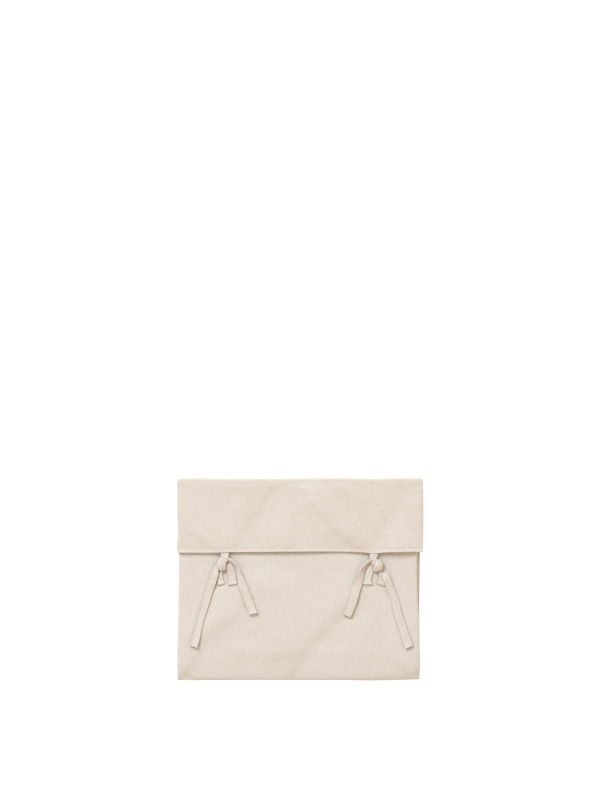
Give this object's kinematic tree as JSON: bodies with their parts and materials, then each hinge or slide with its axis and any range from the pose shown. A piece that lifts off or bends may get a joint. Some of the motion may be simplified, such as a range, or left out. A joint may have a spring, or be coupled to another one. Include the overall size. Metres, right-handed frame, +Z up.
{
  "type": "canvas travel pouch",
  "caption": "Flat canvas envelope pouch lying on its back, with a flap folded over the top and held down at its hem by cloth ties in small bows.",
  "frame": {"origin": "on the surface that the pouch lies on, under the middle of its outline", "axes": "+X to the right of the front, along the longest side; +Y towards the fold at the top; +Z up, out of the front"},
  "size_m": [0.3076, 0.2524, 0.0149],
  "materials": {
    "canvas": "natural unbleached cotton canvas, matt, with small brown seed flecks",
    "canvas_ties": "the same canvas folded and stitched into flat ties, matt"
  },
  "bodies": {
    "root": {"front_panel": "canvas", "back_panel_and_flap": "canvas", "left_flap_tie": "canvas_ties", "left_outer_loop": "canvas_ties", "left_inner_loop": "canvas_ties", "left_outer_tail": "canvas_ties", "left_inner_tail": "canvas_ties", "right_flap_tie": "canvas_ties", "right_outer_loop": "canvas_ties", "right_inner_loop": "canvas_ties", "right_outer_tail": "canvas_ties", "right_inner_tail": "canvas_ties"}
  },
  "joints": []
}
